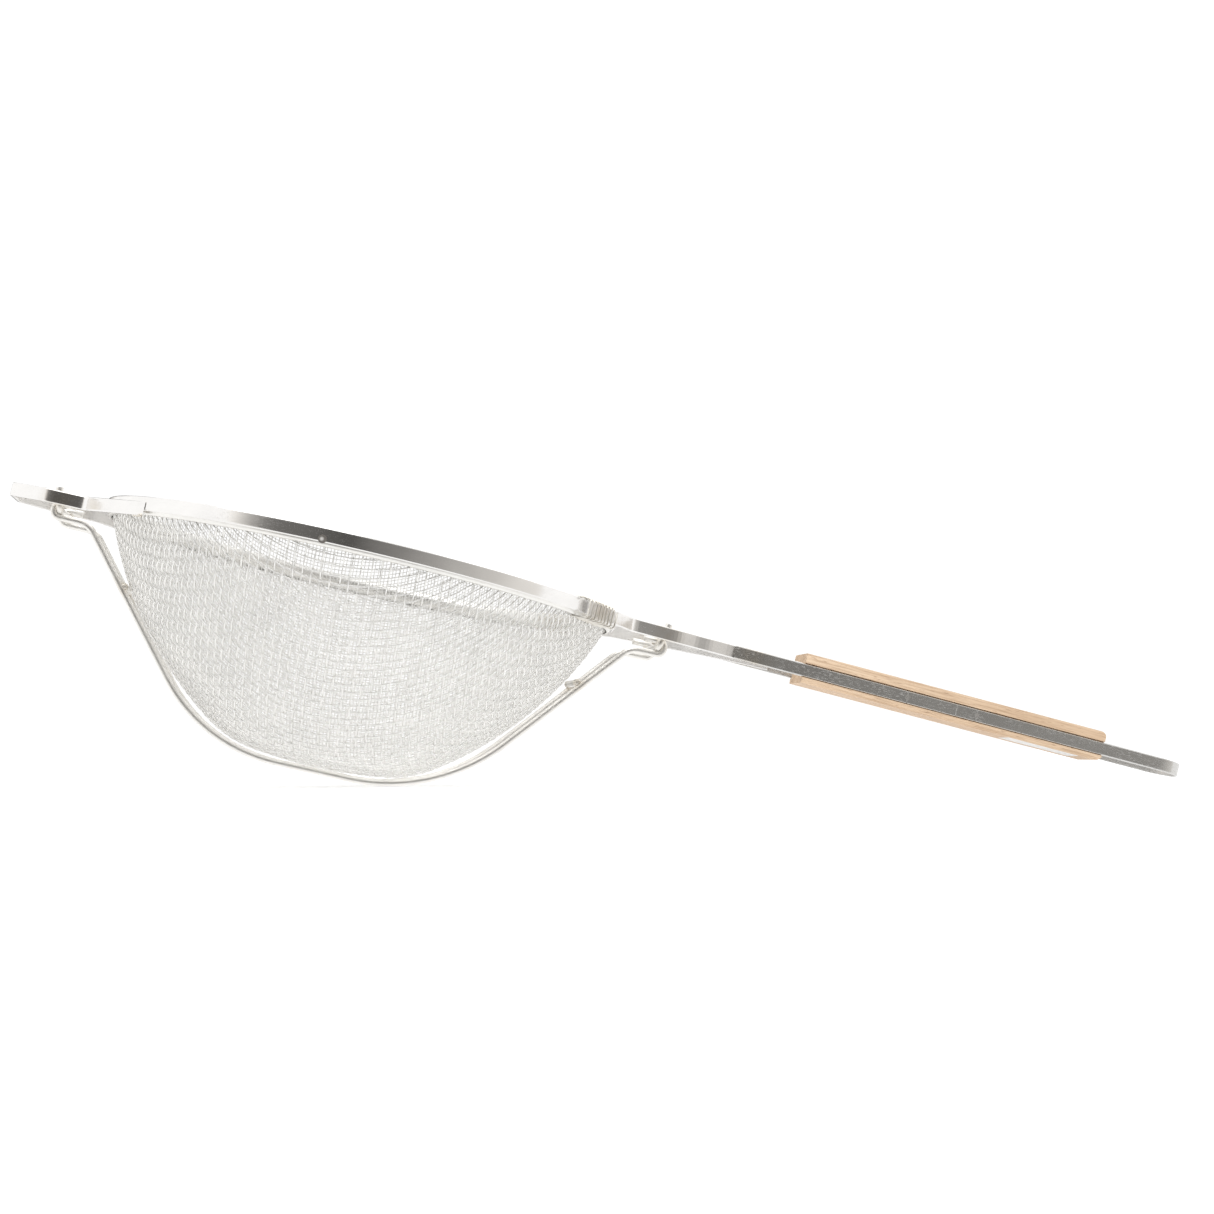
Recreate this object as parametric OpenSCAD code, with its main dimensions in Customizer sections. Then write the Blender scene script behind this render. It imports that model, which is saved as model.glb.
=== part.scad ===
// Large double-mesh kitchen strainer: a strap-iron frame with a hoop, a rest loop in front and a
// wooden grip behind, a two-layer woven bowl, and two bent guard wires below the bowl.
// Millimetres. +X runs toward the grip, +Z up, standing as it rests on a table: on the guard
// wires and the end of the hanging loop. Origin below the middle of the whole outline.

/* [Hoop and straps] */
// Outside diameter of the hoop
hoop_d = 305; // [200:1:420]
// Height of every flat strap
strap_h = 8; // [5:0.5:14]
// Thickness of every flat strap; both edges are fully rounded
strap_t = 2; // [1.5:0.1:3]

/* [Bowl] */
// Radius of the nearly flat floor of the bowl, outer mesh
floor_r = 280; // [150:1:400]
// Radius of the turn between the floor and the flank
turn_r = 68; // [50:1:120]
// Radius of the gently bowed flank
flank_r = 220; // [150:1:400]
// Depth through which the two crossing wires of the coarse mesh reach
coarse_t = 1.8; // [1:0.1:3]
// Depth through which the two crossing wires of the fine mesh reach
fine_t = 0.8; // [0.4:0.1:1.5]

/* [Front rest loop] */
// How far the loop reaches in front of the hoop
loop_reach = 53.5; // [30:0.5:90]
// Half the width of its closed end, on the strap's middle line
loop_end_y = 18; // [10:0.5:30]
// Half its width where the legs kink outward to the hoop
loop_kink_y = 34; // [20:0.5:50]
// How far the loop sits below the middle of the hoop
loop_drop = 3.2; // [0:0.1:6]

/* [Handle] */
// Length of the wooden grip
grip_len = 190; // [120:1:260]
// Width of the wooden grip across the straps
grip_w = 35.6; // [24:0.2:50]
// Height of the wooden grip
grip_h = 18; // [12:0.5:30]
// Distance from the hoop's middle to the front end of the grip
grip_x = 268; // [210:0.5:320]
// Distance from the hoop's middle to the far end of the hanging loop
reach = 512; // [380:0.5:620]
// Downward lean of the handle strap, degrees
droop = 1.65; // [0:0.05:6]

/* [Guard wires] */
// Diameter of the guard wires, cross bars and stays
rod_d = 4; // [2.5:0.1:6]
// Half the distance between the two guard wires
guard_y = 23.4; // [15:0.2:45]
// Depth of the guard wires' middle line below the hoop's middle
guard_z = 122.8; // [90:0.2:150]

/* [Hidden] */
$fn = 64;

// Hoop, and the strap tabs that run onto its outer face.
hoop_r = hoop_d / 2;
tab_r = hoop_r + strap_t / 2;
front_x = hoop_r + loop_reach;
front_kink = [-161, -loop_kink_y];
fork_kink = [158.5, -39];
lap_y = 14.5;
hairpin_r = 16.5;
lap_x = 225;

// Bowl: three arcs, one running into the next, from the axis to the edge in the channel.
turn_a = 8;
flank_a = 35;
edge_a = 69.8;
edge_z = -2.6;

// Cross bars: place of the straight part, seen from the side, and the lean of their bent ends.
front_bar = [-175, -9.5];
rear_bar = [178, -8.5];
front_bar_y = 29.6;
rear_bar_y = 27.9;
bar_lean = 13.5;

// Guard wire seen from the side: [x, z, bend radius].
hook = rod_d;
front_run_z = front_bar[1] - hook;
rear_run_z = rear_bar[1] - hook;
hook_r = hook - 0.3;
guard_path = [[front_bar[0] + 8, front_bar[1] + hook, 0],
              [front_bar[0] - hook, front_bar[1] + hook, hook_r],
              [front_bar[0] - hook, front_run_z, hook_r],
              [-158, front_run_z, 12],
              [-67, -guard_z, 93],
              [69.8, -guard_z, 110],
              [162.5, rear_run_z, 12],
              [rear_bar[0] + hook, rear_run_z, hook_r],
              [rear_bar[0] + hook, rear_bar[1] + hook, hook_r],
              [rear_bar[0] - 9, rear_bar[1] + hook, 0]];
front_slope = atan2(guard_z + front_run_z, 91);
rear_slope = atan2(guard_z + rear_run_z, 92.7);

// Standing on the rear bend of the guard wires and the lower edge of the hanging loop.
rest_c = [69.8 - 110 * tan(rear_slope / 2), 110 - guard_z];
rest_r = 110 + rod_d / 2;
end_c = drooped([reach - strap_t / 2, strap_t / 2 - strap_h / 2]);
tilt = asin((rest_r - strap_t / 2) / norm(end_c - rest_c))
     + atan2(end_c[1] - rest_c[1], end_c[0] - rest_c[0]);
lift = rest_r + rest_c[0] * sin(tilt) - rest_c[1] * cos(tilt);
back_x = 1 + end_c[0] * cos(tilt) + (end_c[1] + strap_h - strap_t) * sin(tilt);
nose_x = 1 + (front_x - 1) * cos(tilt) + (loop_drop + strap_h / 2 - 1) * sin(tilt);

function drooped(p) = [lap_x + (p[0] - lap_x) * cos(droop) + p[1] * sin(droop),
                       p[1] * cos(droop) - (p[0] - lap_x) * sin(droop)];

// Middle line of the bowl's section at slope a, and a point set inward from it.
function bowl_line(a) =
    a <= turn_a ? floor_r * [sin(a), 1 - cos(a)]
    : a <= flank_a ? bowl_line(turn_a) + turn_r * [sin(a) - sin(turn_a), cos(turn_a) - cos(a)]
    : bowl_line(flank_a) + flank_r * [sin(a) - sin(flank_a), cos(flank_a) - cos(a)];
function bowl_point(a, inset) =
    bowl_line(a) + inset * [-sin(a), cos(a)] + [0, edge_z - bowl_line(edge_a)[1]];

// A bent path is a list of [x, y, bend radius].
function heading(p, i) = atan2(p[i + 1][1] - p[i][1], p[i + 1][0] - p[i][0]);
function turn(p, i) = let (t = heading(p, i) - heading(p, i - 1))
    t > 180 ? t - 360 : t < -180 ? t + 360 : t;
function cut(p, i) = i == 0 || i == len(p) - 1 ? 0 : p[i][2] * tan(abs(turn(p, i)) / 2);
function side(p) = [for (i = [len(p) - 1 : -1 : 0]) [p[i][0], -p[i][1], p[i][2]]];
function polar(r, a) = [r * cos(a), r * sin(a)];
// Angle at which a line from point k touches the circle of the tabs, on the side of sign s.
function touch(k, s) = atan2(k[1], k[0]) + s * acos(tab_r / norm(k));
// The tab that ends at angle a and leaves the hoop at angle b.
function tab(a, b) = let (m = polar(tab_r / cos((a - b) / 2), (a + b) / 2))
    [[polar(tab_r, a)[0], polar(tab_r, a)[1], 0], [m[0], m[1], tab_r]];

// Straight length between bend i and bend i + 1.
function run(p, i) = norm([p[i + 1][0] - p[i][0], p[i + 1][1] - p[i][1]]) - cut(p, i) - cut(p, i + 1);
// A bend reaches a little over the straight next to it, so the two are one solid.
function over(p, i, r) = run(p, i) > 0.02 ? 0.1 / r * 180 / PI : 0;

// Sweeps a section (x across the path, y up) along a bent path in the ground plane.
module bent(p) {
    for (i = [0 : len(p) - 2])
        if (run(p, i) > 0.02)
            translate([p[i][0], p[i][1], 0])
                rotate([0, 0, heading(p, i)])
                    translate([cut(p, i), 0, 0])
                        rotate([90, 0, 90])
                            linear_extrude(run(p, i))
                                children();
    for (i = [1 : len(p) - 2]) {
        r = p[i][2];
        t = turn(p, i);
        h = heading(p, i - 1);
        before = over(p, i - 1, r);
        after = over(p, i, r);
        translate([p[i][0] - cut(p, i) * cos(h) - sign(t) * r * sin(h),
                   p[i][1] - cut(p, i) * sin(h) + sign(t) * r * cos(h), 0])
            rotate([0, 0, t > 0 ? h - 90 - before : h + 90 + t - after])
                rotate_extrude(angle = abs(t) + before + after)
                    translate([r, 0])
                        scale(1.01)
                            children();
    }
}

// Strap section with fully rounded edges.
module strap_section() {
    square([strap_t, strap_h - strap_t], center = true);
    for (s = [-1, 1])
        translate([0, s * (strap_h - strap_t) / 2])
            circle(d = strap_t);
}

module wire_section(d = rod_d) {
    circle(d = d);
}

// Stands the frame, drawn about the hoop's own middle, in its resting pose.
module at_rest() {
    translate([(nose_x - back_x) / 2, 0, lift])
        rotate([0, tilt, 0])
            children();
}

module drooping() {
    translate([lap_x, 0, 0])
        rotate([0, droop, 0])
            translate([-lap_x, 0, 0])
                children();
}

// Outer hoop.
module rim_hoop() {
    color([0.78, 0.77, 0.74])
        at_rest()
            rotate_extrude()
                translate([hoop_r - strap_t / 2, 0])
                    edged_section();
}

// Strap section whose edges are rounded in flats, for the one long turn of the hoop.
module edged_section() {
    r = strap_t / 2;
    polygon([for (s = [1, -1], a = [0 : 22.5 : 180])
        [r * cos(a) * s, s * (strap_h / 2 - r + r * sin(a))]]);
}

// Folded sheet ring inside the hoop that grips the edge of both meshes.
module rim_channel() {
    out_r = hoop_r - strap_t;
    wall = 0.8;
    width = 5.9;
    color([0.82, 0.8, 0.75])
        at_rest()
            rotate_extrude() {
                translate([out_r - wall, -6])
                    square([wall, 10]);
                translate([out_r - width, -5])
                    square([wall, 9]);
                translate([out_r - width, 4 - wall])
                    square([width, wall]);
            }
}

// Ring of wire in the fold of the channel, above the edge of the meshes.
module rim_core_wire() {
    color([0.6, 0.6, 0.58])
        at_rest()
            rotate_extrude()
                translate([hoop_r - strap_t - 3, 1.45])
                    circle(d = 3.4);
}

module bowl_shell(outer, inner) {
    rotate_extrude($fn = 180)
        polygon([for (i = [0 : 35]) bowl_point(edge_a * i / 35, outer),
                 for (i = [35 : -1 : 0]) bowl_point(edge_a * i / 35, inner)]);
}

// Coarse woven bowl, the outer layer.
module coarse_mesh() {
    color([0.72, 0.7, 0.66])
        at_rest()
            bowl_shell(0, coarse_t);
}

// Fine woven bowl, lying inside the coarse one.
module fine_mesh() {
    color([0.8, 0.78, 0.74])
        at_rest()
            bowl_shell(coarse_t, coarse_t + fine_t);
}

// Front rest loop, one bent strap with both ends on the hoop.
module front_loop() {
    on = touch(front_kink, 1);
    half = [each tab(on + 2.5, on),
            [front_kink[0], front_kink[1], 8],
            [-183, -32, 14],
            [strap_t / 2 - front_x, -loop_end_y, 5]];
    color([0.76, 0.75, 0.72])
        at_rest()
            translate([0, 0, -loop_drop])
                difference() {
                    bent(concat(half, side(half)))
                        strap_section();
                    for (s = [0, 1])
                        mirror([0, s, 0])
                            rotate([0, 0, on + 2.5])
                                tab_bevel();
                }
}

// Cut that thins the end of a tab down to the hoop.
module tab_bevel() {
    translate([hoop_r + 0.3, 0.1, 0])
        rotate([0, 0, 17.5])
            translate([0, -12, -strap_h])
                cube([6, 24, 2 * strap_h]);
}

// Fork arm: from the hoop to the lap inside the handle strap.
module fork_arm() {
    off = touch(fork_kink, -1);
    bent([each tab(off - 2, off),
          [fork_kink[0], fork_kink[1], 8],
          [224, -lap_y, 12],
          [252, -lap_y, 0]])
        strap_section();
}

module fork_arm_left() {
    color([0.74, 0.72, 0.68])
        at_rest()
            fork_arm();
}

module fork_arm_right() {
    color([0.74, 0.72, 0.68])
        at_rest()
            mirror([0, 1, 0])
                fork_arm();
}

function pin_xs() = [grip_x + 65, grip_x + 109];

module pin_holes(d) {
    for (x = pin_xs())
        translate([x, 0, 0])
            rotate([90, 0, 0])
                cylinder(d = d, h = 2 * grip_w, center = true);
}

// Hairpin strap along both sides of the grip and round the hanging loop.
module handle_strap() {
    end_x = reach - strap_t / 2;
    color([0.72, 0.71, 0.68])
        at_rest()
            drooping()
                difference() {
                    bent([[lap_x, -hairpin_r, 0],
                          [end_x, -hairpin_r, hairpin_r - 0.5],
                          [end_x, hairpin_r, hairpin_r - 0.5],
                          [lap_x, hairpin_r, 0]])
                        strap_section();
                    pin_holes(3);
                }
}

// Wooden grip: a long bar with rounded edges, let in on both sides for the strap.
module wood_grip() {
    edge = 2.2;
    nose = 3.5;
    rise = 1.4;
    color([0.88, 0.7, 0.48])
        at_rest()
            drooping()
                difference() {
                    intersection() {
                        translate([grip_x, 0, rise])
                            rotate([90, 0, 90])
                                linear_extrude(grip_len)
                                    rounded(grip_w, grip_h, edge);
                        translate([grip_x + grip_len / 2 - nose, 0, rise])
                            rotate([90, 0, 0])
                                linear_extrude(2 * grip_w, center = true)
                                    rounded(grip_len + 2 * nose, grip_h, nose);
                    }
                    for (s = [-1, 1])
                        translate([grip_x - 1, s * grip_w / 2 - 2.4, -4.2])
                            cube([grip_len + 2, 4.8, 8.6]);
                    pin_holes(3);
                }
}

module rounded(w, h, r) {
    square([w - 2 * r, h], center = true);
    square([w, h - 2 * r], center = true);
    for (i = [-1, 1], j = [-1, 1])
        translate([i * (w / 2 - r), j * (h / 2 - r)])
            circle(r = r);
}

// Two cross pins through both legs of the strap and the grip, filed flush.
module grip_pins() {
    color([0.7, 0.69, 0.66])
        at_rest()
            drooping()
                for (x = pin_xs())
                    translate([x, 0, 0])
                        rotate([90, 0, 0])
                            cylinder(d = 3, h = 2 * hairpin_r + strap_t, center = true);
}

// Cross bar with both ends bent up inside the straps; their tips stand above them.
module crossbar(at, y, lean, tip) {
    translate([at[0], 0, at[1]])
        rotate([0, lean, 0])
            rotate([90, 0, 90])
                bent([[-y, tip, 0],
                      [-y, 0, 3.2],
                      [y, 0, 3.2],
                      [y, tip, 0]])
                    wire_section();
}

module front_crossbar() {
    color([0.7, 0.68, 0.64])
        at_rest()
            crossbar(front_bar, front_bar_y, -bar_lean, 12.6);
}

module rear_crossbar() {
    color([0.7, 0.68, 0.64])
        at_rest()
            crossbar(rear_bar, rear_bar_y, bar_lean, 14.8);
}

// Guard wire, hooked round a cross bar at each end.
module guard_wire(y) {
    translate([0, y, 0])
        rotate([90, 0, 0])
            bent(guard_path)
                wire_section();
}

module guard_wire_left() {
    color([0.74, 0.72, 0.68])
        at_rest()
            guard_wire(-guard_y);
}

module guard_wire_right() {
    color([0.74, 0.72, 0.68])
        at_rest()
            guard_wire(guard_y);
}

// Stays between the guard wires: height on the slope and offset toward the bowl.
function front_stay() = let (z = -45)
    [-158 + (front_run_z - z) / tan(front_slope), z] + 1.9 * [sin(front_slope), cos(front_slope)];
function rear_stay() = let (z = -41)
    [162.5 - (rear_run_z - z) / tan(rear_slope), z] + 3 * [-sin(rear_slope), cos(rear_slope)];

module stay(at) {
    translate([at[0], 0, at[1]])
        rotate([90, 0, 0])
            cylinder(d = rod_d, h = 2 * guard_y - 1.2, center = true);
}

module stay_rod_front() {
    color([0.7, 0.68, 0.64])
        at_rest()
            stay(front_stay());
}

module stay_rod_rear() {
    color([0.7, 0.68, 0.64])
        at_rest()
            stay(rear_stay());
}

// Turns of thin wire round the hoop, the channel and the tab of a fork arm.
module binding_wire() {
    d = 1.4;
    turns = 9;
    for (i = [0 : turns - 1]) {
        past = i * 1.6 - 2.6;
        spread = past > 0 ? tab_r / cos(past) - tab_r : 0;
        rotate([0, 0, touch(fork_kink, -1) + past])
            rotate([90, 0, 0])
                binding_turn(d, spread);
    }
}

module binding_turn(d, spread) {
    x0 = hoop_r - strap_t - 5.9 - d / 2;
    x1 = hoop_r + strap_t + 0.5 + d / 2 + spread;
    z0 = -6 - d / 2;
    z1 = 4 + d / 2;
    xm = (x0 + x1) / 2;
    bent([[xm, z0, 0], [x1, z0, 1.6], [x1, z1, 1.6], [xm, z1, 0]])
        wire_section(d);
    bent([[xm, z1, 0], [x0, z1, 1.6], [x0, z0, 1.6], [xm, z0, 0]])
        wire_section(d);
}

module binding_wire_left() {
    color([0.66, 0.6, 0.5])
        at_rest()
            binding_wire();
}

module binding_wire_right() {
    color([0.66, 0.6, 0.5])
        at_rest()
            mirror([0, 1, 0])
                binding_wire();
}

// Two spot welds a side where the fork arms lie inside the handle strap.
module lap_spot_welds() {
    color([0.6, 0.56, 0.5])
        at_rest()
            for (s = [-1, 1], x = [lap_x + 4, lap_x + 19])
                translate([x, s * (hairpin_r + 0.5), -0.2])
                    rotate([90, 0, 0])
                        cylinder(d = 3.6, h = 1.6, center = true);
}

// Beads under the tabs of the front loop.
module loop_welds() {
    on = touch(front_kink, 1);
    color([0.6, 0.56, 0.5])
        at_rest()
            for (s = [-1, 1], i = [0 : 4])
                rotate([0, 0, s * (on + 2 - i * 0.7)])
                    translate([hoop_r + 0.4, 0, -loop_drop - strap_h / 2 + 0.4])
                        sphere(d = 2.2);
}

// Beads between the bent ends of the cross bars and the straps.
module crossbar_welds() {
    color([0.6, 0.56, 0.5])
        at_rest()
            for (s = [-1, 1]) {
                for (z = [-6.2, -3.2])
                    translate([front_bar[0] - 1.5, s * (front_bar_y + 1.6), z])
                        sphere(d = 3);
                for (z = [-3, 0.5])
                    translate([rear_bar[0] + 2, s * (rear_bar_y + 1.6), z])
                        sphere(d = 3);
            }
}

// Beads where the stays meet the guard wires.
module stay_welds() {
    color([0.6, 0.56, 0.5])
        at_rest()
            for (s = [-1, 1], p = [front_stay(), rear_stay()])
                translate([p[0], s * (guard_y - 0.2), p[1]])
                    sphere(d = 4.4);
}

// Small rivet through the lower edge of the hoop and the channel.
module rim_rivet() {
    color([0.8, 0.79, 0.76])
        at_rest()
            rotate([0, 0, -99.7])
                translate([hoop_r, 0, -2.4])
                    rotate([0, 90, 0]) {
                        translate([0, 0, -0.2])
                            cylinder(d = 4.6, h = 0.9);
                        translate([0, 0, -3.4])
                            cylinder(d = 2, h = 3.4);
                    }
}

// Blank paper label stuck under the grip and up its left lower edge.
module paper_label() {
    len = 45;
    bottom = 1.4 - grip_h / 2;
    color([0.93, 0.93, 0.91])
        at_rest()
            drooping()
                translate([grip_x + 131.7, 0, 0])
                    rotate([90, 0, 90])
                        label_wrap(len, bottom);
}

module label_wrap(len, bottom) {
    t = 0.15;
    r = 3.5;
    translate([r - grip_w / 2, bottom - t, 0])
        cube([20, t, len]);
    translate([r - grip_w / 2, bottom + r, 0])
        linear_extrude(len)
            intersection() {
                difference() {
                    circle(r = r + t);
                    circle(r = r);
                }
                polygon([[0, 0], [0, -2 * r], [-2 * r, -2 * r], [-2 * r, -0.8 * r]]);
            }
}

rim_hoop();
rim_channel();
rim_core_wire();
coarse_mesh();
fine_mesh();
front_loop();
fork_arm_left();
fork_arm_right();
handle_strap();
wood_grip();
grip_pins();
front_crossbar();
rear_crossbar();
guard_wire_left();
guard_wire_right();
stay_rod_front();
stay_rod_rear();
binding_wire_left();
binding_wire_right();
lap_spot_welds();
loop_welds();
crossbar_welds();
stay_welds();
rim_rivet();
paper_label();
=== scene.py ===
import math

import bpy
import numpy as np
from mathutils import Matrix, Vector


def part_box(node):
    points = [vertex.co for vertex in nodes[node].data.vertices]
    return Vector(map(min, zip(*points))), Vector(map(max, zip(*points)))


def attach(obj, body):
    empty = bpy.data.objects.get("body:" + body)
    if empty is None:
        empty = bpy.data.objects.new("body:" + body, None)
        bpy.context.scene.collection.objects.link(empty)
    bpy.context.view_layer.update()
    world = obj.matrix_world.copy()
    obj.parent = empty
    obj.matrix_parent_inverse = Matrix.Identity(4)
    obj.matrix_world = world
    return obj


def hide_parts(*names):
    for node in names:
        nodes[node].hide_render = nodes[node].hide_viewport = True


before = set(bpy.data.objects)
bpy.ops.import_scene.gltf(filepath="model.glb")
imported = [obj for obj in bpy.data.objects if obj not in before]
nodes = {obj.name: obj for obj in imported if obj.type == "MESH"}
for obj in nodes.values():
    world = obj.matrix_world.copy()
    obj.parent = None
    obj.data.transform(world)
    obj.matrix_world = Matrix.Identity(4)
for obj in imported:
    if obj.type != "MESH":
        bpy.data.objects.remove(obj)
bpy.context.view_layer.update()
MM = 0.001

# ---------------------------------------------------------------- the hoop's own axes
# The hoop is a flat ring with edges rounded to this radius; its box gives its middle and lean.
EDGE = 1.0 * MM
hoop_lo, hoop_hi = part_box("rim_hoop")
HOOP_R = (hoop_hi.y - hoop_lo.y) / 2
CENTRE = (hoop_lo + hoop_hi) / 2


def lean_error(t):
    wide = (hoop_hi.x - hoop_lo.x) / 2 - EDGE
    tall = (hoop_hi.z - hoop_lo.z) / 2 - EDGE
    return wide * math.cos(t) - tall * math.sin(t) - (HOOP_R - EDGE) * math.cos(2 * t)


LEAN = min((math.radians(d / 500) for d in range(0, 12000)), key=lambda t: abs(lean_error(t)))
UX = Vector((math.cos(LEAN), 0, -math.sin(LEAN)))
UY = Vector((0, 1, 0))
UZ = Vector((math.sin(LEAN), 0, math.cos(LEAN)))


def to_row(points):
    """Points about the hoop's middle (N x 3, metres) placed in the row frame."""
    axes = np.array([UX, UY, UZ], float)
    return np.asarray(points, float) @ axes + np.array(CENTRE, float)


# Strap thickness, radius of the tabs' middle line, and the sheet folded inside the hoop.
STRAP_T = 2 * MM
TAB_R = 153.5 * MM
FOLD_W = 5.9 * MM
FOLD_TOP, FOLD_LOW = 4 * MM, -6 * MM

# ---------------------------------------------------------------- mesh helpers
def add_mesh(name, verts, faces, material, smooth=True):
    mesh = bpy.data.meshes.new(name)
    mesh.from_pydata(np.asarray(verts, float).tolist(), [], faces)
    mesh.polygons.foreach_set("use_smooth", [smooth] * len(mesh.polygons))
    mesh.materials.append(material)
    mesh.update()
    obj = bpy.data.objects.new(name, mesh)
    bpy.context.scene.collection.objects.link(obj)
    return obj


def tube(path, up, radius, sides, base):
    """Rings of a round wire along a path; up is a steady direction across it."""
    path = np.asarray(path, float)
    tangent = np.gradient(path, axis=0)
    tangent /= np.linalg.norm(tangent, axis=1)[:, None]
    up = np.broadcast_to(up, path.shape)
    u = up - (up * tangent).sum(1)[:, None] * tangent
    u /= np.linalg.norm(u, axis=1)[:, None]
    v = np.cross(tangent, u)
    a = np.arange(sides) * 2 * math.pi / sides
    ring = u[:, None] * np.cos(a)[None, :, None] + v[:, None] * np.sin(a)[None, :, None]
    verts = (path[:, None] + radius * ring).reshape(-1, 3)
    n = len(path)
    i = np.arange(n - 1)[:, None] * sides
    j = np.arange(sides)[None, :]
    k = (j + 1) % sides
    quads = np.stack([i + j, i + k, i + k + sides, i + j + sides], -1).reshape(-1, 4) + base
    faces = quads.tolist()
    faces.append([base + s for s in reversed(range(sides))])
    faces.append([base + (n - 1) * sides + s for s in range(sides)])
    return verts, faces


# ---------------------------------------------------------------- woven bowl
FLOOR_R, TURN_R, FLANK_R = 280 * MM, 68 * MM, 220 * MM
TURN_A, FLANK_A, EDGE_A = math.radians(8), math.radians(35), math.radians(69.8)
EDGE_Z = -2.6 * MM
SPARE = 30 * MM


def bowl_table():
    """Radius, height, slope and length along the bowl's outer side, from its lowest point to
    its edge and a little beyond."""
    slope = np.linspace(0, EDGE_A, 900)
    r1, z1 = FLOOR_R * math.sin(TURN_A), FLOOR_R * (1 - math.cos(TURN_A))
    r2 = r1 + TURN_R * (math.sin(FLANK_A) - math.sin(TURN_A))
    z2 = z1 + TURN_R * (math.cos(TURN_A) - math.cos(FLANK_A))
    r = np.where(slope <= TURN_A, FLOOR_R * np.sin(slope),
                 np.where(slope <= FLANK_A, r1 + TURN_R * (np.sin(slope) - math.sin(TURN_A)),
                          r2 + FLANK_R * (np.sin(slope) - math.sin(FLANK_A))))
    z = np.where(slope <= TURN_A, FLOOR_R * (1 - np.cos(slope)),
                 np.where(slope <= FLANK_A, z1 + TURN_R * (math.cos(TURN_A) - np.cos(slope)),
                          z2 + FLANK_R * (math.cos(FLANK_A) - np.cos(slope))))
    z = z - z[-1] + EDGE_Z
    edge = r[-1]
    r = np.append(r, edge + SPARE * math.cos(EDGE_A))
    z = np.append(z, EDGE_Z + SPARE * math.sin(EDGE_A))
    slope = np.append(slope, EDGE_A)
    length = np.concatenate([[0], np.cumsum(np.hypot(np.diff(r), np.diff(z)))])
    return r, z, slope, length, edge


BOWL_R, BOWL_Z, BOWL_SLOPE, BOWL_LENGTH, BOWL_EDGE = bowl_table()
NET_STEP = 4 * MM
NET_COUNT = int(1.12 * BOWL_LENGTH[-1] / NET_STEP)


def draped_net():
    """How square cloth lies on the bowl: threads keep their spacing and the squares shear.
    Each knot of one quarter is a full step away from its two neighbours nearer the middle."""
    even_r = np.linspace(0, BOWL_R[-1] * 1.5, 1200)
    even_z = np.interp(even_r, BOWL_R, BOWL_Z)
    beyond = even_r > BOWL_R[-1]
    even_z[beyond] = BOWL_Z[-1] + (even_r[beyond] - BOWL_R[-1]) * math.tan(EDGE_A)
    heights = even_z.tolist()
    grow = 1 / (even_r[1] - even_r[0])

    def surface(x, y):
        t = math.hypot(x, y) * grow
        i = min(int(t), len(heights) - 2)
        slope = (heights[i + 1] - heights[i]) * grow
        rho = max(math.hypot(x, y), 1e-9)
        return heights[i] + (t - i) / grow * slope, slope * x / rho, slope * y / rho

    n = NET_COUNT
    net = np.zeros((n + 1, n + 1, 2))
    for i in range(n + 1):
        r = float(np.interp(i * NET_STEP, BOWL_LENGTH, BOWL_R))
        net[i, 0] = (r, 0)
        net[0, i] = (0, r)
    for i in range(1, n + 1):
        for j in range(1, n + 1):
            ax, ay = net[i - 1, j]
            bx, by = net[i, j - 1]
            az, bz = surface(ax, ay)[0], surface(bx, by)[0]
            x, y = ax + bx - net[i - 1, j - 1, 0], ay + by - net[i - 1, j - 1, 1]
            for _ in range(6):
                z, dx, dy = surface(x, y)
                f = (x - ax) ** 2 + (y - ay) ** 2 + (z - az) ** 2 - NET_STEP ** 2
                g = (x - bx) ** 2 + (y - by) ** 2 + (z - bz) ** 2 - NET_STEP ** 2
                fx, fy = 2 * (x - ax + (z - az) * dx), 2 * (y - ay + (z - az) * dy)
                gx, gy = 2 * (x - bx + (z - bz) * dx), 2 * (y - by + (z - bz) * dy)
                det = fx * gy - fy * gx
                if abs(det) < 1e-12:
                    break
                sx, sy = (f * gy - g * fy) / det, (fx * g - gx * f) / det
                size = math.hypot(sx, sy)
                limit = min(1, 2 * MM / size) if size > 0 else 1
                x, y = x - sx * limit, y - sy * limit
            net[i, j] = (x, y)
    return net


NET = draped_net()


def net_point(u, v):
    """Place over the ground of the cloth's point u, v (arrays, measured along the threads)."""
    a, b = np.abs(u) / NET_STEP, np.abs(v) / NET_STEP
    i = np.clip(a.astype(int), 0, NET_COUNT - 1)
    j = np.clip(b.astype(int), 0, NET_COUNT - 1)
    fa, fb = (a - i)[:, None], (b - j)[:, None]
    p = (NET[i, j] * (1 - fa) * (1 - fb) + NET[i + 1, j] * fa * (1 - fb)
         + NET[i, j + 1] * (1 - fa) * fb + NET[i + 1, j + 1] * fa * fb)
    return p * np.column_stack([np.sign(u) + (u == 0), np.sign(v) + (v == 0)])


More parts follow.
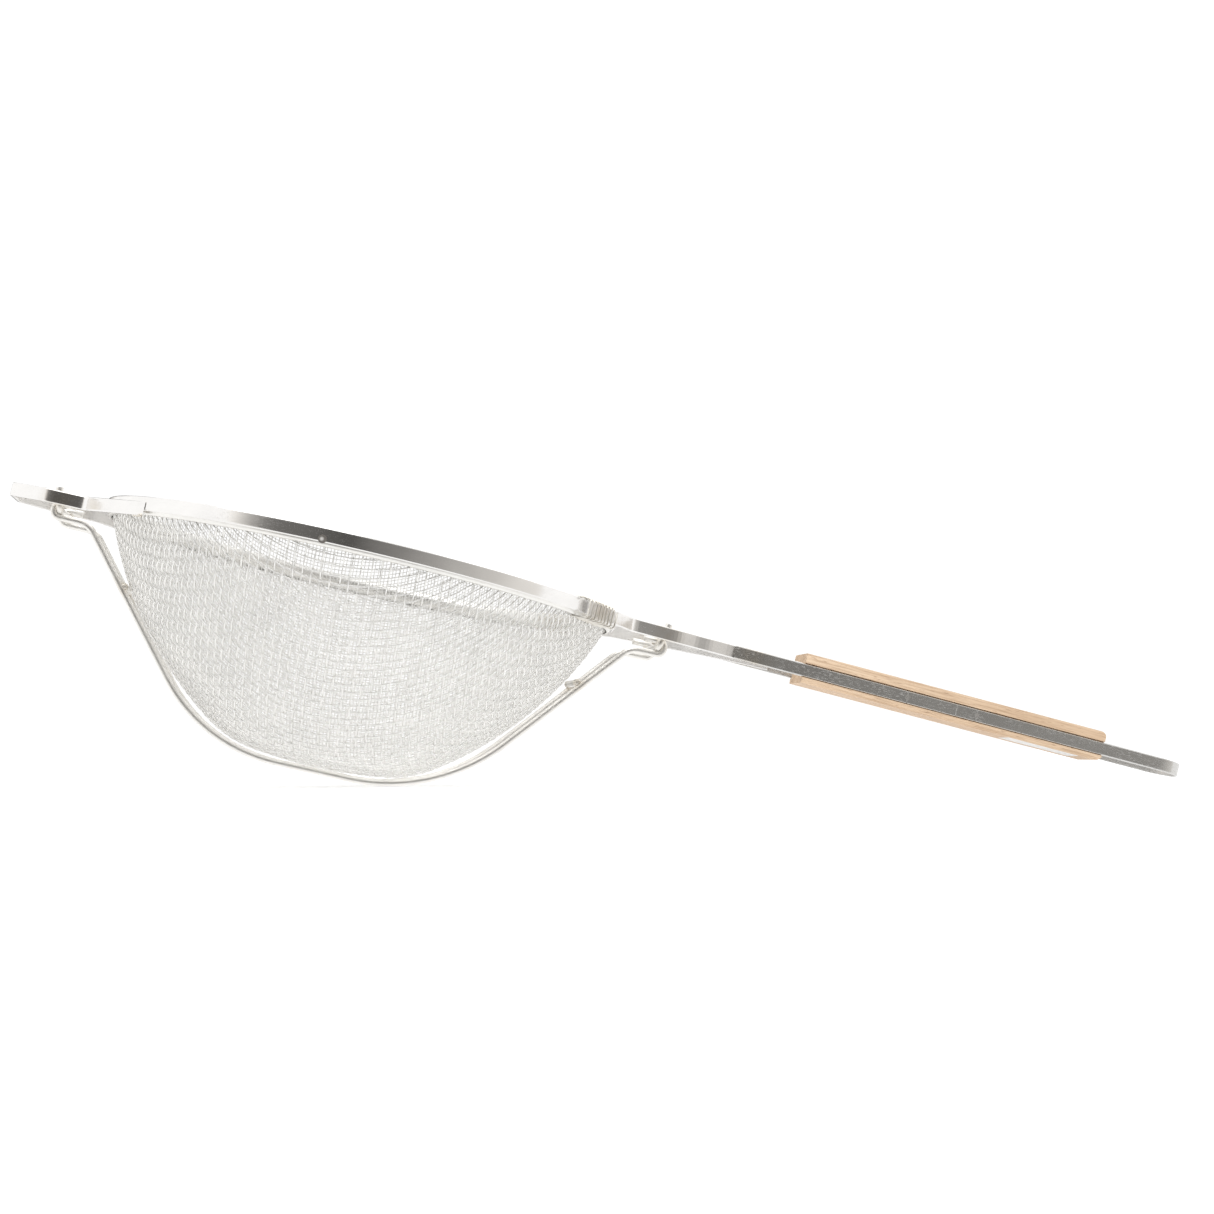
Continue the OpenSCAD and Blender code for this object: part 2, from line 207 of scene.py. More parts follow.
def wire_cloth(name, pitch, wire, inset, swing, sides, step, angle, warp, wander, material):
    """All threads of one direction, waving over and under those of the other."""
    flip = 1 if warp else -1
    verts, faces, base = [], [], 0
    top = NET_COUNT * NET_STEP
    count = int(top / pitch)
    turned = np.array([[math.cos(angle), math.sin(angle)], [-math.sin(angle), math.cos(angle)]])
    fine = np.arange(-top, top, 0.5 * MM)
    for k in range(-count, count + 1):
        drift = wander * (np.sin(fine * 31 + k * 1.7) + 0.6 * np.sin(fine * 83 + k * 4.1 + flip))
        own = np.clip(k * pitch + drift, -top, top)
        flat = net_point(own, fine) if warp else net_point(fine, own)
        inside = np.hypot(flat[:, 0], flat[:, 1]) < BOWL_EDGE
        if inside.sum() < 16:
            continue
        first, last = np.flatnonzero(inside)[[0, -1]]
        s = np.linspace(fine[first], fine[last], max(int((last - first) * 0.5 * MM / step), 4) + 1)
        flat = np.column_stack([np.interp(s, fine, flat[:, 0]), np.interp(s, fine, flat[:, 1])])
        rho = np.minimum(np.hypot(flat[:, 0], flat[:, 1]), BOWL_EDGE)
        slope = np.interp(rho, BOWL_R, BOWL_SLOPE)
        radial = flat / np.maximum(np.hypot(flat[:, 0], flat[:, 1]), 1e-6)[:, None]
        normal = np.column_stack([-np.sin(slope)[:, None] * radial, np.cos(slope)])
        height = inset + flip * swing * np.cos(math.pi * (s / pitch + k))
        path = np.column_stack([rho[:, None] * radial, np.interp(rho, BOWL_R, BOWL_Z)])
        path[:, :2] = path[:, :2] @ turned
        normal[:, :2] = normal[:, :2] @ turned
        v, f = tube(path + height[:, None] * normal, normal, wire / 2, sides, base)
        verts.append(v)
        faces.extend(f)
        base += len(v)
    return add_mesh(name, to_row(np.vstack(verts)), faces, material)


def lathe(name, outline, count, material):
    """A ring about the hoop's axis from a closed outline of (radius, height) points."""
    outline = np.array(outline)
    a = np.arange(count) * 2 * math.pi / count
    n = len(outline)
    verts = np.stack([np.outer(np.cos(a), outline[:, 0]), np.outer(np.sin(a), outline[:, 0]),
                      np.tile(outline[:, 1], (count, 1))], -1).reshape(-1, 3)
    i, j = np.arange(count)[:, None], np.arange(n)[None, :]
    ni, nj = (i + 1) % count, (j + 1) % n
    faces = np.stack([i * n + j, ni * n + j, ni * n + nj, i * n + nj], -1).reshape(-1, 4)
    return add_mesh(name, to_row(verts), faces.tolist(), material)


# ---------------------------------------------------------------- materials
class Nodes:
    """Small helper that builds a node material."""

    def __init__(self, name):
        self.material = bpy.data.materials.new(name)
        self.material.use_nodes = True
        self.tree = self.material.node_tree
        self.tree.nodes.clear()
        self.shader = self.add("ShaderNodeBsdfPrincipled")
        out = self.add("ShaderNodeOutputMaterial")
        self.join(self.shader.outputs["BSDF"], out.inputs["Surface"])
        self.place = self.add("ShaderNodeTexCoord").outputs["Object"]
        self.normal = None

    def add(self, kind, **values):
        node = self.tree.nodes.new(kind)
        for key, value in values.items():
            setattr(node, key, value)
        return node

    def join(self, a, b):
        self.tree.links.new(a, b)

    def stretched(self, scale, turn=(0, 0, 0)):
        turned = self.add("ShaderNodeMapping")
        turned.inputs["Rotation"].default_value = turn
        self.join(self.place, turned.inputs["Vector"])
        m = self.add("ShaderNodeMapping")
        m.inputs["Scale"].default_value = scale
        self.join(turned.outputs["Vector"], m.inputs["Vector"])
        return m.outputs["Vector"]

    def noise(self, vector, scale, detail=3.0, rough=0.5, distort=0.0):
        n = self.add("ShaderNodeTexNoise")
        n.inputs["Scale"].default_value = scale
        n.inputs["Detail"].default_value = detail
        n.inputs["Roughness"].default_value = rough
        n.inputs["Distortion"].default_value = distort
        self.join(vector, n.inputs["Vector"])
        return n.outputs["Fac"]

    def ramp(self, value, stops):
        r = self.add("ShaderNodeValToRGB")
        while len(r.color_ramp.elements) < len(stops):
            r.color_ramp.elements.new(0.5)
        for e, (at, colour) in zip(r.color_ramp.elements, stops):
            e.position = at
            e.color = (*colour, 1)
        self.join(value, r.inputs["Fac"])
        return r.outputs["Color"]

    def span(self, value, a, b, c, d):
        m = self.add("ShaderNodeMapRange")
        m.inputs["From Min"].default_value = a
        m.inputs["From Max"].default_value = b
        m.inputs["To Min"].default_value = c
        m.inputs["To Max"].default_value = d
        self.join(value, m.inputs["Value"])
        return m.outputs["Result"]

    def mix(self, factor, a, b):
        m = self.add("ShaderNodeMix", data_type="RGBA")
        self.join(factor, m.inputs["Factor"])
        self.join(a, m.inputs[6])
        self.join(b, m.inputs[7])
        return m.outputs[2]

    def multiply(self, a, b):
        m = self.add("ShaderNodeMath", operation="MULTIPLY")
        self.join(a, m.inputs[0])
        self.join(b, m.inputs[1])
        return m.outputs[0]

    def forward(self):
        """Distance from the hoop's middle toward the handle, in metres."""
        from_centre = self.add("ShaderNodeVectorMath", operation="SUBTRACT")
        self.join(self.place, from_centre.inputs[0])
        from_centre.inputs[1].default_value = tuple(CENTRE)
        along = self.add("ShaderNodeVectorMath", operation="DOT_PRODUCT")
        self.join(from_centre.outputs["Vector"], along.inputs[0])
        along.inputs[1].default_value = tuple(UX)
        return along.outputs["Value"]

    def plus(self, a, b):
        m = self.add("ShaderNodeMath", operation="ADD")
        self.join(a, m.inputs[0])
        self.join(b, m.inputs[1])
        return m.outputs[0]

    def inward(self):
        """Above 0 on faces that look toward the part's middle plane, below 0 on the others."""
        here = self.add("ShaderNodeSeparateXYZ")
        self.join(self.place, here.inputs["Vector"])
        facing = self.add("ShaderNodeSeparateXYZ")
        self.join(self.add("ShaderNodeNewGeometry").outputs["Normal"], facing.inputs["Vector"])
        away = self.multiply(here.outputs["Y"], facing.outputs["Y"])
        m = self.add("ShaderNodeMath", operation="MULTIPLY")
        m.inputs[1].default_value = -1
        self.join(away, m.inputs[0])
        return m.outputs[0]

    def bump(self, height, strength, distance):
        b = self.add("ShaderNodeBump")
        b.inputs["Strength"].default_value = strength
        b.inputs["Distance"].default_value = distance
        self.join(height, b.inputs["Height"])
        if self.normal is not None:
            self.join(self.normal, b.inputs["Normal"])
        self.normal = b.outputs["Normal"]
        self.join(self.normal, self.shader.inputs["Normal"])

    def near(self, points, inner, outer):
        """1 close to any of the points, falling to 0 at the outer distance."""
        result = None
        for p in points:
            d = self.add("ShaderNodeVectorMath", operation="DISTANCE")
            self.join(self.place, d.inputs[0])
            d.inputs[1].default_value = p
            v = self.span(d.outputs["Value"], inner, outer, 1, 0)
            if result is None:
                result = v
            else:
                m = self.add("ShaderNodeMath", operation="MAXIMUM")
                self.join(result, m.inputs[0])
                self.join(v, m.inputs[1])
                result = m.outputs[0]
        return result


def shade(colour, f):
    return tuple(min(1.0, c * f) for c in colour)


def metal(name, colour, rough, grain=(1, 1, 1), heat=(), mottle=0.06, dents=0.1,
          reach=(0.003, 0.014), tint=0.5, dull_inside=False, scratch=0.0, shine=1.0, bends=(),
          marks=(), dull_at=()):
    """Plated metal: cloudy tone, faint heat tint near welds, fine ripple; the faces that look
    toward the middle plane can be duller, and scratches run along X. Bends are pairs of the
    distance toward the handle and the height of a hand-bent strap's soft kinks, in mm, shown
    by shading only. Marks are dull cross lines at such distances, and dull_at holds the middles
    of soldered patches."""
    n = Nodes(name)
    vec = n.stretched(grain)
    cloud = n.noise(vec, 38, 4, 0.55)
    tone = n.ramp(cloud, [(0.3, shade(colour, 1 - mottle)), (0.62, colour),
                          (0.8, shade(colour, 1 + mottle * 0.4))])
    if heat:
        spots = n.noise(n.place, 210, 3, 0.6)
        warm = n.multiply(n.near(heat, *reach), n.span(spots, 0.3, 0.65, 0.3 * tint, tint))
        brown = n.ramp(spots, [(0.25, (0.42, 0.33, 0.22)), (0.75, (0.74, 0.66, 0.53))])
        tone = n.mix(warm, tone, brown)
    n.join(tone, n.shader.inputs["Base Color"])
    n.shader.inputs["Metallic"].default_value = shine
    streak = n.noise(vec, 420, 3, 0.6)
    gloss = n.span(streak, 0.25, 0.75, rough * 0.72, rough * 1.35)
    if scratch:
        speckle = n.noise(n.stretched((420, 900, 1300), (0, -LEAN, 0)), 1.0, 4, 0.65)
        patches = n.noise(n.place, 70, 2, 0.5)
        worn = n.multiply(n.span(speckle, 0.47, 0.62, 0.0, scratch),
                          n.span(patches, 0.35, 0.6, 0.35, 1.0))
        gloss = n.plus(gloss, worn)
    for x in marks:
        across = n.add("ShaderNodeMath", operation="COMPARE")
        across.inputs[1].default_value = x * MM
        across.inputs[2].default_value = 0.35 * MM
        n.join(n.forward(), across.inputs[0])
        gloss = n.plus(gloss, n.span(across.outputs[0], 0, 1, 0, 0.4))
    if dull_inside:
        gloss = n.plus(gloss, n.span(n.inward(), -0.002, 0.002, 0.0, 0.45))
    if dull_at:
        zone = n.span(n.near(dull_at, 0.017, 0.024), 0, 1, 0.0, 0.5)
        gloss = n.plus(gloss, zone)
    n.join(gloss, n.shader.inputs["Roughness"])
    if bends:
        start, end = bends[0][0], bends[-1][0]
        along = n.span(n.forward(), start * MM, end * MM, 0, 1)
        steps = [((x - start) / (end - start), (h / 10, h / 10, h / 10)) for x, h in bends]
        n.bump(n.ramp(along, steps), 1.0, 10 * MM)
    n.bump(n.noise(n.place, 26, 1, 0.4), dents, 0.004)
    return n.material


def weld_metal(name, colour, dark_points=()):
    n = Nodes(name)
    cloud = n.noise(n.place, 520, 4, 0.65)
    tone = n.ramp(cloud, [(0.3, shade(colour, 0.6)), (0.5, colour), (0.72, (0.94, 0.91, 0.86))])
    # Close to the given points the tone turns dark brown.
    if dark_points:
        dark_brown = n.ramp(cloud, [(0.3, (0.16, 0.09, 0.05)), (0.7, (0.34, 0.22, 0.13))])
        tone = n.mix(n.near(dark_points, 0.0008, 0.0026), tone, dark_brown)
    n.join(tone, n.shader.inputs["Base Color"])
    n.shader.inputs["Metallic"].default_value = 1.0
    n.join(n.span(cloud, 0.3, 0.7, 0.3, 0.6), n.shader.inputs["Roughness"])
    n.bump(n.noise(n.place, 1500, 2, 0.5), 0.5, 0.0004)
    return n.material


def rivet_metal(name, centre):
    """Flat head with the shading of a formed head painted on: a painted dark ring round its light
    middle, a light rim and a painted dark outline.
    """
    n = Nodes(name)
    d = n.add("ShaderNodeVectorMath", operation="DISTANCE")
    n.join(n.place, d.inputs[0])
    d.inputs[1].default_value = tuple(centre)
    far = n.span(d.outputs["Value"], 0.0, 0.0024, 0, 1)
    # Painted shade and reflection: the dark stops stand for the shading of a domed head on the flat
    # disc.
    painted_rings = [(0.2, (0.92, 0.9, 0.87)), (0.38, (0.3, 0.28, 0.26)), (0.55, (0.93, 0.91, 0.88)),
             (0.8, (0.9, 0.88, 0.85)), (0.97, (0.25, 0.23, 0.21))]
    n.join(n.ramp(far, painted_rings), n.shader.inputs["Base Color"])
    n.shader.inputs["Metallic"].default_value = 0.6
    n.join(n.span(n.noise(n.place, 900, 2, 0.5), 0.3, 0.7, 0.3, 0.45), n.shader.inputs["Roughness"])
    return n.material


def beech(name):
    n = Nodes(name)
    turn = (0, -LEAN - math.radians(1.65), 0)
    long_grain = n.stretched((2.2, 30, 30), turn)
    band = n.noise(long_grain, 3.2, 4, 0.55, 0.4)
    tone = n.ramp(band, [(0.3, (0.49, 0.33, 0.205)), (0.48, (0.61, 0.44, 0.29)),
                         (0.66, (0.71, 0.54, 0.38))])
    fine = n.noise(n.stretched((9, 240, 240), turn), 4.0, 4, 0.6)
    dark = n.ramp(fine, [(0.3, (0.4, 0.255, 0.15)), (0.6, (0.64, 0.47, 0.32))])
    streaks = n.span(fine, 0.42, 0.6, 0.75, 0.0)
    tone = n.mix(streaks, tone, dark)
    fleck = n.noise(n.stretched((55, 620, 620), turn), 2.6, 2, 0.5)
    flecks = n.span(fleck, 0.62, 0.69, 0.0, 0.7)
    spot = n.ramp(fleck, [(0.5, (0.38, 0.235, 0.135)), (0.8, (0.33, 0.2, 0.115))])
    tone = n.mix(flecks, tone, spot)
    n.join(tone, n.shader.inputs["Base Color"])
    n.join(n.span(band, 0.3, 0.7, 0.5, 0.62), n.shader.inputs["Roughness"])
    n.bump(fine, 0.25, 0.0003)
    return n.material


def paper(name):
    n = Nodes(name)
    fibre = n.noise(n.place, 900, 3, 0.6)
    n.join(n.ramp(fibre, [(0.3, (0.68, 0.68, 0.675)), (0.7, (0.78, 0.78, 0.775))]),
           n.shader.inputs["Base Color"])
    n.join(n.span(fibre, 0.3, 0.7, 0.45, 0.6), n.shader.inputs["Roughness"])
    n.bump(fibre, 0.1, 0.0001)
    return n.material


def middle(node):
    lo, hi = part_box(node)
    return (lo + hi) / 2


def both_sides(node, inset):
    """A point near each of the two outer Y sides of a node."""
    lo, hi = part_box(node)
    c = (lo + hi) / 2
    return [(c.x, lo.y + inset, c.z), (c.x, hi.y - inset, c.z)]


bar_heat = both_sides("front_crossbar", 0.002) + both_sides("rear_crossbar", 0.002)
bind_heat = [tuple(middle("binding_wire_left")), tuple(middle("binding_wire_right"))]
stay_heat = both_sides("stay_rod_front", 0.0) + both_sides("stay_rod_rear", 0.0)
lap_heat = both_sides("lap_spot_welds", 0.0)

NICKEL = (0.92, 0.905, 0.885)
strap_mat = metal("plated_strap", NICKEL, 0.13, (1, 1, 3), bar_heat + bind_heat,
                  dents=0.25, dull_inside=True, scratch=0.12, dull_at=bind_heat)
# Slopes of the hand-bent fork arms at some distances from the hoop's middle.
ARM_X = np.linspace(158, 222, 29)
ARM_SLOPE = np.interp(ARM_X, (161, 165, 187, 193, 199, 203, 207, 212, 219, 222),
                      (0, 0.3, 0.3, -0.08, -0.08, 0.16, 0.16, -0.1, -0.1, 0))
ARM_HEIGHT = np.cumsum(ARM_SLOPE) * (ARM_X[1] - ARM_X[0])
arm_mat = metal("plated_arm", NICKEL, 0.13, (1, 1, 3), bar_heat + bind_heat, dents=0.2,
                dull_inside=True, scratch=0.15, dull_at=bind_heat,
                bends=list(zip(ARM_X.tolist(), ARM_HEIGHT.tolist())))
handle_mat = metal("plated_handle", (0.7, 0.69, 0.67), 0.15, (1, 1, 4), lap_heat, dents=0.16,
                   dull_inside=True, scratch=0.45, marks=(333, 364, 377))
sheet_mat = metal("plated_sheet", (0.93, 0.915, 0.88), 0.36, (1, 1, 2), bind_heat)
wire_mat = metal("plated_wire", (0.95, 0.93, 0.89), 0.42, heat=bar_heat + stay_heat,
                 reach=(0.002, 0.009), shine=0.9)
coarse_mat = metal("coarse_weave", (0.99, 0.98, 0.955), 0.38, shine=0.84)
fine_mat = metal("fine_weave", (0.96, 0.95, 0.925), 0.4, shine=0.95)
binding_mat = metal("tinned_binding", (0.9, 0.87, 0.81), 0.36, heat=bind_heat,
                    mottle=0.12, reach=(0.003, 0.02), tint=0.3)
weld_mat = weld_metal("weld", (0.8, 0.75, 0.67))
# The stay welds turn dark brown close to both ends of the front stay.
stay_weld_mat = weld_metal("stay_weld", (0.84, 0.79, 0.71), both_sides("stay_rod_front", 0.0))
rivet_mat = rivet_metal("rivet", middle("rim_rivet"))
wood_mat = beech("beech")
label_mat = paper("label")
pin_mat = metal("grip_pin", (0.9, 0.885, 0.86), 0.25)

DRESS = {
    "rim_hoop": (strap_mat, "plated_strap"),
    "front_loop": (strap_mat, "plated_strap"),
    "fork_arm_left": (arm_mat, "plated_strap"),
    "fork_arm_right": (arm_mat, "plated_strap"),
    "handle_strap": (handle_mat, "plated_strap"),
    "rim_core_wire": (wire_mat, "plated_wire"),
    "front_crossbar": (wire_mat, "plated_wire"),
    "rear_crossbar": (wire_mat, "plated_wire"),
    "stay_rod_front": (wire_mat, "plated_wire"),
    "stay_rod_rear": (wire_mat, "plated_wire"),
    "lap_spot_welds": (handle_mat, "weld"),
    "loop_welds": (weld_mat, "weld"),
    "crossbar_welds": (weld_mat, "weld"),
    "stay_welds": (stay_weld_mat, "weld"),
    "rim_rivet": (rivet_mat, "plated_sheet"),
    "grip_pins": (pin_mat, "plated_strap"),
    "wood_grip": (wood_mat, "beech"),
    "paper_label": (label_mat, "label"),
}
for node_name, (material, slot_name) in DRESS.items():
    obj = nodes[node_name]
    obj.data.materials.clear()
    obj.data.materials.append(material)
for node_name in ("front_loop", "fork_arm_left", "fork_arm_right", "handle_strap", "wood_grip"):
    split = nodes[node_name].modifiers.new("sharp_edges", "EDGE_SPLIT")
    split.split_angle = math.radians(28)

# ---------------------------------------------------------------- woven pieces
WEAVE_TURN = math.radians(-7)
FINE_TURN = WEAVE_TURN - 0.03
COARSE_PITCH, COARSE_WIRE = 5.2 * MM, 0.85 * MM
FINE_PITCH, FINE_WIRE = 1.95 * MM, 0.42 * MM
coarse_pieces = [
    wire_cloth(name, COARSE_PITCH, COARSE_WIRE, 0.9 * MM, 0.45 * MM, 5, 1.73 * MM,
               WEAVE_TURN, warp, 0.25 * MM, coarse_mat)
    for name, warp in (("coarse_warp", True), ("coarse_weft", False))
]
fine_pieces = [
    wire_cloth(name, FINE_PITCH, FINE_WIRE, inset, 0.0, 4, 5 * MM,
               FINE_TURN, warp, 0.12 * MM, fine_mat)
    for name, inset, warp in (("fine_warp", 2.0 * MM, True), ("fine_weft", 2.4 * MM, False))
]
for piece in coarse_pieces:
    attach(piece, "root")
    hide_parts("coarse_mesh")
for piece in fine_pieces:
    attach(piece, "root")
    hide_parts("fine_mesh")


# ---------------------------------------------------------------- folded channel
def channel_outline():
    """Closed outline of the folded ring: rounded lips and a softly domed inner wall."""
    out_r = HOOP_R - STRAP_T
    sheet = 0.8 * MM
    points = [(out_r, FOLD_TOP), (out_r, -3.2 * MM)]
    for a in range(0, 91, 15):
        t = math.radians(a)
        points.append((out_r - 2.2 * MM * (1 - math.cos(t)), -3.2 * MM - 2.8 * MM * math.sin(t)))
    points += [(out_r - 1.9 * MM, -5.6 * MM), (out_r - sheet, -3.2 * MM),
               (out_r - sheet, 3.2 * MM), (out_r - 4.9 * MM, 3.2 * MM), (out_r - 4.7 * MM, -1 * MM),
               (out_r - 4.1 * MM, -4.8 * MM)]
    for step in range(0, 13):
        t = -1 + step / 6
        points.append((out_r - FOLD_W + 1.5 * MM * t * t, -0.5 * MM + 4.5 * MM * t))
    return points


channel = lathe("rim_fold", channel_outline(), 180, sheet_mat)
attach(channel, "root")
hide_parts("rim_channel")


# ---------------------------------------------------------------- guard wires
def rounded_path(corners, step):
    """Points along straight runs joined by arcs; each corner is (x, z, bend radius)."""
    points = [np.array(corners[0][:2], float)]
    for before, corner, after in zip(corners, corners[1:], corners[2:]):
        p, radius = np.array(corner[:2], float), corner[2]
        a = np.array(before[:2], float) - p
        b = np.array(after[:2], float) - p
        a, b = a / np.linalg.norm(a), b / np.linalg.norm(b)
        half = math.acos(max(-1, min(1, float(a @ b)))) / 2
        hub = p + (a + b) / np.linalg.norm(a + b) * radius / math.sin(half)
        start = p + a * radius / math.tan(half) - hub
        end = p + b * radius / math.tan(half) - hub
        sweep = math.pi - 2 * half
        count = max(int(sweep * radius / step), 5)
        for i in range(count + 1):
            t = i / count
            points.append(hub + (math.sin((1 - t) * sweep) * start + math.sin(t * sweep) * end)
                          / math.sin(sweep))
    points.append(np.array(corners[-1][:2], float))
    dense = [points[0]]
    for p, q in zip(points, points[1:]):
        far = float(np.linalg.norm(q - p))
        if far < 1e-6:
            continue
        n = max(int(far / (4 * step)), 1)
        dense += [p + (q - p) * (i + 1) / n for i in range(n)]
    return np.array(dense)


def guard_wire(name, node):
    rod = 4.0
    front, rear = (-175.0, -9.5), (178.0, -8.5)
    corners = [(front[0] + 8, front[1] + rod, 0), (front[0] - rod, front[1] + rod, 3.7),
               (front[0] - rod, front[1] - rod, 3.7), (-158, front[1] - rod, 12), (-67, -122.8, 93),
               (69.8, -122.8, 110), (162.5, rear[1] - rod, 12), (rear[0] + rod, rear[1] - rod, 3.7),
               (rear[0] + rod, rear[1] + rod, 3.7), (rear[0] - 9, rear[1] + rod, 0)]
    flat = rounded_path(corners, 1.5) * MM
    lo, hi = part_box(node)
    y = (lo.y + hi.y) / 2
    row = to_row(np.column_stack([flat[:, 0], np.full(len(flat), y), flat[:, 1]]))
    v, f = tube(row, np.array([0.0, 1.0, 0.0]), rod / 2 * MM, 14, 0)
    obj = add_mesh(name, v, f, wire_mat)
    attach(obj, "root")
    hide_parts(node)


guard_wire("guard_rod_left", "guard_wire_left")
guard_wire("guard_rod_right", "guard_wire_right")


# ---------------------------------------------------------------- binding wire
def binding_coil(name, node, side):
    """One wire wound round the hoop, the channel and the tab of a fork arm."""
    wire = 1.2 * MM
    slack = 0.5 * MM
    in_x = HOOP_R - STRAP_T - FOLD_W - wire / 2
    out_x = HOOP_R + STRAP_T + slack + wire / 2
    low_z, high_z = FOLD_LOW - wire / 2, FOLD_TOP + wire / 2
    corner = 1.6 * MM
    cx, cz = (in_x + out_x) / 2, (low_z + high_z) / 2
    hx, hz = (out_x - in_x) / 2 - corner, (high_z - low_z) / 2 - corner
    ring = []
    for qx, qz, start in ((1, 1, 0), (-1, 1, 90), (-1, -1, 180), (1, -1, 270)):
        for step in range(7):
            a = math.radians(start + step * 15)
            ring.append((cx + qx * hx + corner * math.cos(a), cz + qz * hz + corner * math.sin(a)))
    ring = np.array(ring)
    turns, pitch = 9, math.radians(1.6)
    leave = math.radians(33.7)
    total = turns * len(ring)
    path = []
    for i in range(total + 1):
        x, z = ring[i % len(ring)]
        t = i / len(ring)
        wobble = math.radians(0.16) * math.sin(t * 5.3) + math.radians(0.08) * math.sin(t * 13.1)
        past = (t - 0.5) * pitch - math.radians(2.6) + wobble
        if t < 1:
            past -= math.radians(1.2) * (1 - t) * math.sin(math.pi * t)
        spread = TAB_R * (1 / math.cos(past) - 1) if past > 0 and x > cx else 0.0
        lift = 0.15 * MM * math.sin(i * 0.7) + spread
        a = past - leave
        path.append(((x + lift) * math.cos(a), -side * (x + lift) * math.sin(a), z))
    row = to_row(path)
    axis = np.array([0.0, 1.0, 0.0]) * side + np.array(UX, float) * -0.6
    v, f = tube(row, axis, wire / 2, 8, 0)
    obj = add_mesh(name, v, f, binding_mat)
    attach(obj, "root")
    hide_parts(node)


binding_coil("binding_coil_left", "binding_wire_left", -1)
binding_coil("binding_coil_right", "binding_wire_right", 1)

# ---------------------------------------------------------------- uneven weld beads
for node_name, depth in (("loop_welds", 0.5), ("crossbar_welds", 0.9), ("stay_welds", 0.7)):
    obj = nodes[node_name]
    melt = obj.modifiers.new("melt", "REMESH")
    melt.mode = "VOXEL"
    melt.voxel_size = 0.3 * MM
    melt.use_smooth_shade = True
    grain = bpy.data.textures.new(node_name + "_grain", "CLOUDS")
    grain.noise_scale = 0.0022
    grain.noise_depth = 2
    lumps = obj.modifiers.new("lumps", "DISPLACE")
    lumps.texture = grain
    lumps.texture_coords = "GLOBAL"
    lumps.strength = depth * MM
    lumps.mid_level = 0.5

# ---------------------------------------------------------------- floor, light and camera
def pale_floor(half, colour):
    """Matt floor, a little self-lit so that it stays white; metal does not reflect it."""
    n = Nodes("floor")
    tone = n.noise(n.place, 3, 2, 0.5)
    n.join(n.ramp(tone, [(0.2, shade(colour, 0.995)), (0.8, colour)]),
           n.shader.inputs["Base Color"])
    n.shader.inputs["Roughness"].default_value = 0.9
    n.shader.inputs["Specular IOR Level"].default_value = 0.0
    n.shader.inputs["Emission Color"].default_value = (1, 1, 1, 1)
    n.shader.inputs["Emission Strength"].default_value = 0.14
    corners = [(-half, -half, 0), (half, -half, 0), (half, half, 0), (-half, half, 0)]
    obj = add_mesh("floor", corners, [[0, 1, 2, 3]], n.material, False)
    obj.visible_glossy = False


pale_floor(9, (0.97, 0.97, 0.97))


def dark_screen(name, tones):
    """Curved screen round the object that only reflections show. Tones are pairs of the
    direction in degrees (0 toward -Y, where the camera stands, positive toward the handle)
    and the brightness."""
    radius, low, high = 3.6, -2.0, 2.4
    first, last = tones[0][0], tones[-1][0]
    verts, faces = [], []
    count = 48
    for i in range(count + 1):
        a = math.radians(-90 + first + i * (last - first) / count)
        verts += [(radius * math.cos(a), radius * math.sin(a), low),
                  (radius * math.cos(a), radius * math.sin(a), high)]
        if i < count:
            faces.append([2 * i, 2 * i + 2, 2 * i + 3, 2 * i + 1])
    n = Nodes(name)
    n.tree.nodes.remove(n.shader)
    out = next(x for x in n.tree.nodes if x.type == "OUTPUT_MATERIAL")
    split = n.add("ShaderNodeSeparateXYZ")
    n.join(n.place, split.inputs["Vector"])
    turn = n.add("ShaderNodeMath", operation="ARCTAN2")
    n.join(split.outputs["X"], turn.inputs[0])
    ahead = n.add("ShaderNodeMath", operation="MULTIPLY")
    ahead.inputs[1].default_value = -1
    n.join(split.outputs["Y"], ahead.inputs[0])
    n.join(ahead.outputs[0], turn.inputs[1])
    where = n.span(turn.outputs[0], math.radians(first), math.radians(last), 0, 1)
    tone = n.ramp(where, [((a - first) / (last - first), (v, v * 0.97, v * 0.93))
                          for a, v in tones])
    glow = n.add("ShaderNodeEmission")
    n.join(tone, glow.inputs["Color"])
    n.join(glow.outputs[0], out.inputs["Surface"])
    obj = add_mesh(name, verts, faces, n.material)
    obj.visible_camera = False
    obj.visible_diffuse = False
    obj.visible_shadow = False
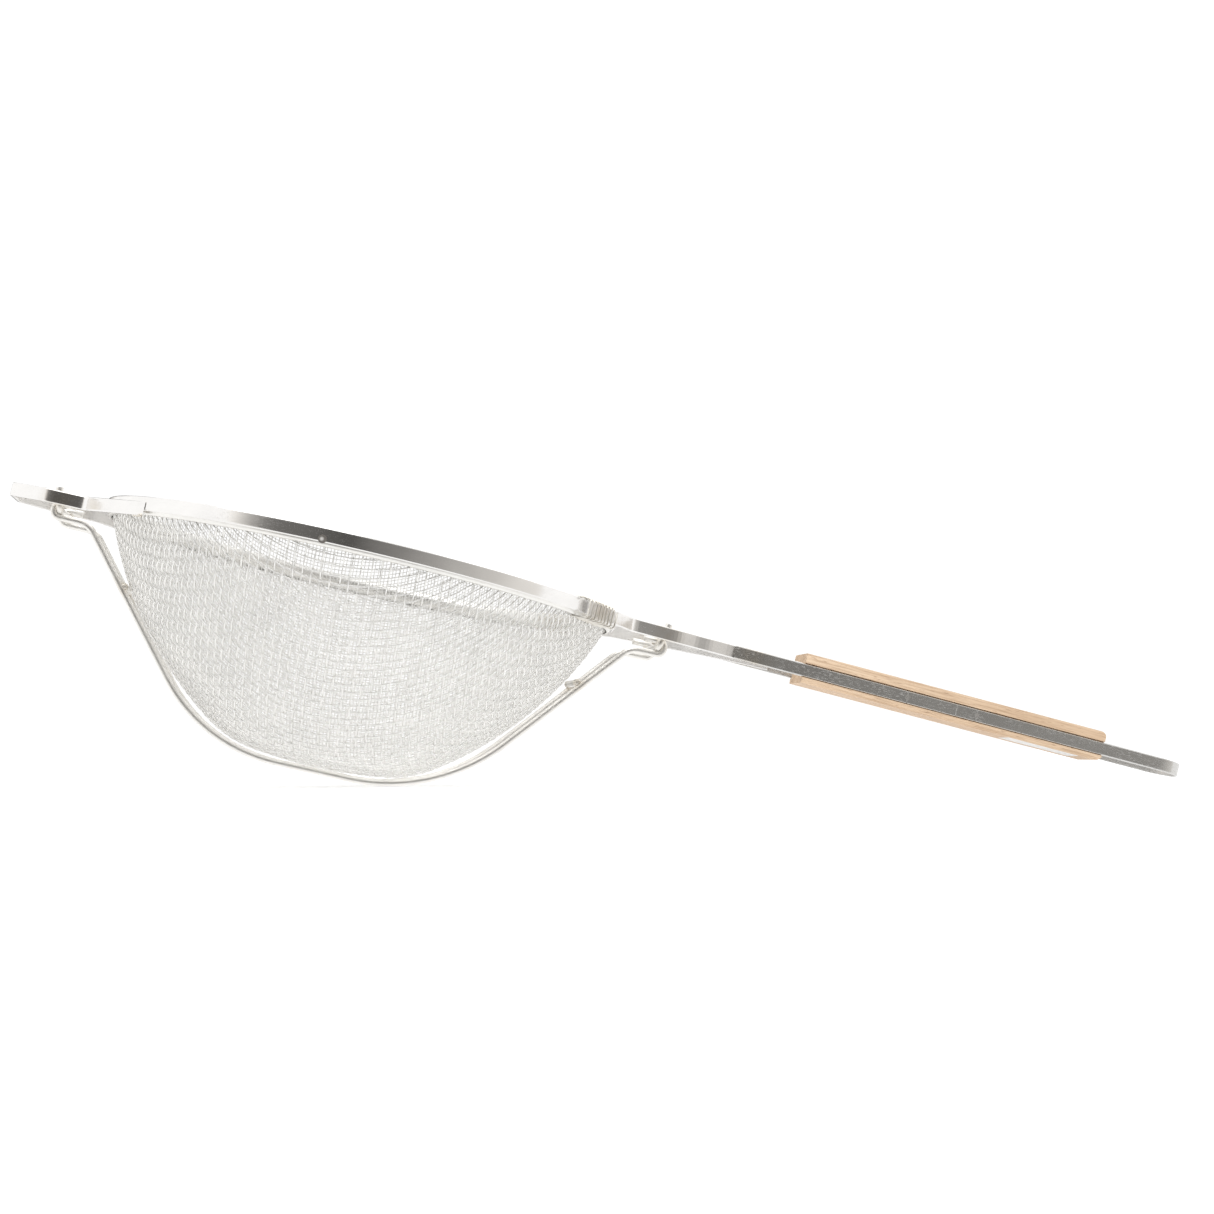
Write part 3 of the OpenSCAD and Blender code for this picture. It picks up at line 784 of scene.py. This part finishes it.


# In front, dark beside the camera and growing lighter toward the handle; behind, one dark strip.
# The tones were set from brightness measured in the photograph and in the render, so
# the metal's light and dark in the photo view come from here.
dark_screen("front_screen", [(-60, 1.0), (-47, 0.17), (-8, 0.08), (80, 0.8)])
dark_screen("back_screen", [(-178, 0.5), (-170, 0.2), (-156, 0.2), (-148, 1.0)])

world = bpy.data.worlds.new("studio")
world.use_nodes = True
world.node_tree.nodes["Background"].inputs["Color"].default_value = (1, 1, 1, 1)
world.node_tree.nodes["Background"].inputs["Strength"].default_value = 1.0
bpy.context.scene.world = world


def area(name, place, aim, size, power):
    light = bpy.data.lights.new(name, "AREA")
    light.shape = "RECTANGLE"
    light.size, light.size_y = size
    light.energy = power
    obj = bpy.data.objects.new(name, light)
    bpy.context.scene.collection.objects.link(obj)
    obj.location = place
    obj.rotation_euler = (Vector(aim) - Vector(place)).to_track_quat("-Z", "Y").to_euler()


area("key_light", (-0.8, -0.9, 2.3), (0, 0, 0.1), (1.8, 1.8), 14)
area("back_light", (0.4, 1.6, 1.6), (0, 0, 0.1), (1.6, 1.2), 8)

# Seat and directions of the camera about the hoop's middle, in metres in the hoop's own axes,
# fitted to the photograph.
LENS = 70.33
SEAT = (-0.01349, -1.4029, -0.11305)
RIGHT, AHEAD = (0.9674, -0.1293, 0.2176), (0.1128, 0.9898, 0.0869)
camera = bpy.data.cameras.new("camera")
camera.lens = LENS
camera.sensor_width = 36
camera.clip_start = 0.01
view = bpy.data.objects.new("camera", camera)
bpy.context.scene.collection.objects.link(view)
seat = to_row([SEAT])[0]
axes = np.array([UX, UY, UZ], float)
right = Vector(np.array(RIGHT) @ axes).normalized()
ahead = Vector(np.array(AHEAD) @ axes).normalized()
up = right.cross(ahead).normalized()
right = ahead.cross(up).normalized()
turn = Matrix((right, up, -ahead)).transposed().to_4x4()
view.matrix_world = Matrix.Translation(Vector(seat)) @ turn
bpy.context.scene.camera = view
bpy.context.scene.view_settings.view_transform = "Standard"
bpy.context.scene.view_settings.look = "None"
bpy.context.scene.view_settings.exposure = 0.1
